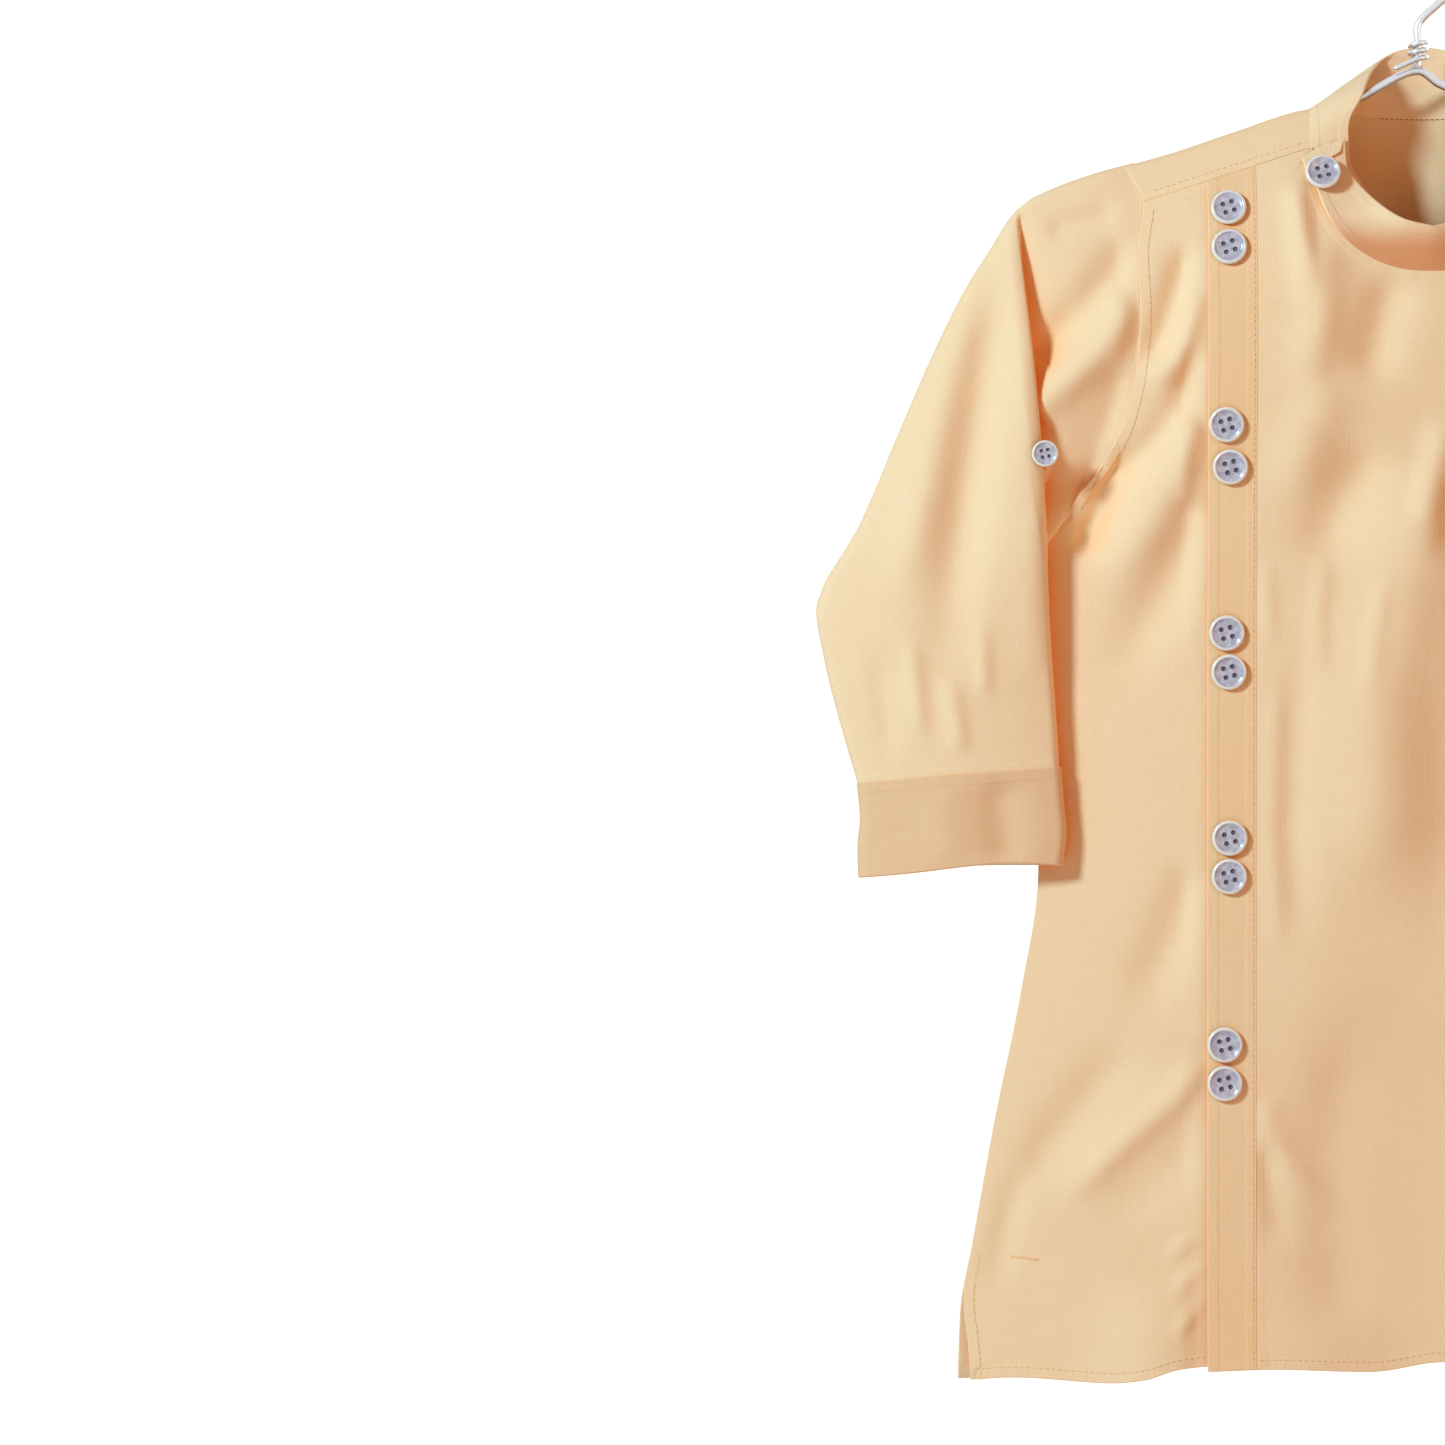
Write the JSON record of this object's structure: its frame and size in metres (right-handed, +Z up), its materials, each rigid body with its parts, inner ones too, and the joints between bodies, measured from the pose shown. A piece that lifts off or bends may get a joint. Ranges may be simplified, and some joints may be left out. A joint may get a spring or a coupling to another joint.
{
  "type": "kurta on a wire hanger",
  "caption": "Child's kurta with a low stand collar, off-centre buttoned placket, cuffed sleeves and side slits, hanging flat on a wire hanger by its hook.",
  "frame": {"origin": "inside top of the hanger's hook, where it rests on a rod", "axes": "+Z up, -Y is the front with the placket, +X is the wearer's left"},
  "size_m": [0.5158, 0.0489, 0.6175],
  "materials": {
    "cloth": "plain weave, matte",
    "button": "pearly",
    "wire": "smooth"
  },
  "bodies": {
    "root": {"front_over": "cloth", "front_under": "cloth", "placket_band": "cloth", "back": "cloth", "collar": "cloth", "sleeve_right": "cloth", "sleeve_left": "cloth", "cuff_right": "cloth", "cuff_left": "cloth", "button_1a": "button", "button_1b": "button", "button_2a": "button", "button_2b": "button", "button_3a": "button", "button_3b": "button", "button_4a": "button", "button_4b": "button", "button_5a": "button", "button_5b": "button", "button_collar": "button", "button_sleeve_right": "button", "button_sleeve_left": "button", "hanger_arms": "wire", "hanger_hook": "wire", "hanger_twist": "wire"}
  },
  "joints": []
}
